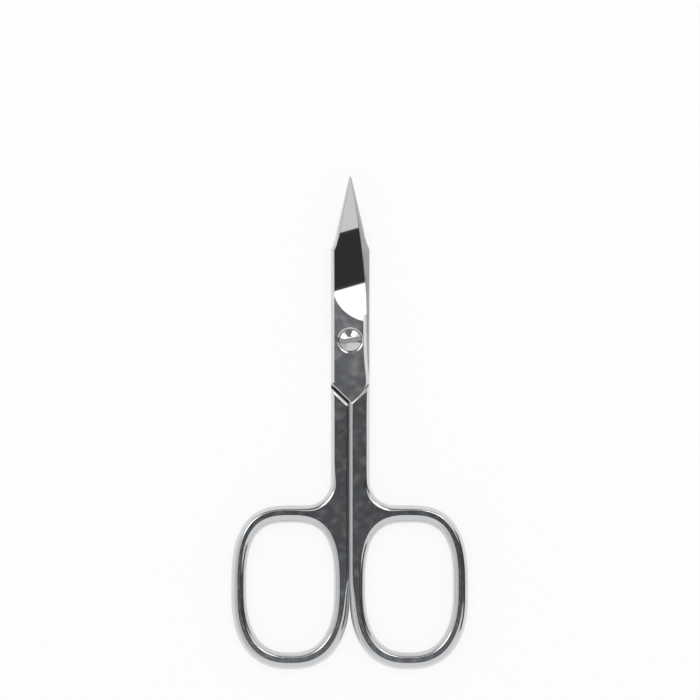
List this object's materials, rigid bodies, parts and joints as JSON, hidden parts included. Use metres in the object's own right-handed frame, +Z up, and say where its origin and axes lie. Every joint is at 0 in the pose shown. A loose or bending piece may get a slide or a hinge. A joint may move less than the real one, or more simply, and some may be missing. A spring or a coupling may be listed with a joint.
{
  "type": "manicure scissors",
  "caption": "Curved-blade manicure scissors: steel halves with oval finger bows, lapped at a slotted pivot screw, lying closed.",
  "frame": {"origin": "centre of the closed scissors' footprint, on the surface they lie on", "axes": "+Y toward the blade tip, +X to the right seen from above, +Z up through the thickness; the blades curve up toward +Z"},
  "size_m": [0.0432, 0.09, 0.0049],
  "materials": {
    "polished_steel": "polished stainless steel, satin on the flats and mirror-bright on the ground blade faces",
    "screw_steel": "turned and polished steel"
  },
  "bodies": {
    "lower": {"lower_half": "polished_steel", "pivot_screw": "screw_steel"},
    "upper": {"upper_half": "polished_steel"}
  },
  "joints": [
    {"name": "pivot", "type": "hinge", "parent": "lower", "child": "upper", "pos_m": [0.00012, 0.0151, 0.0016], "axis": [0, 0, 1], "range_deg": [0, 136]}
  ]
}
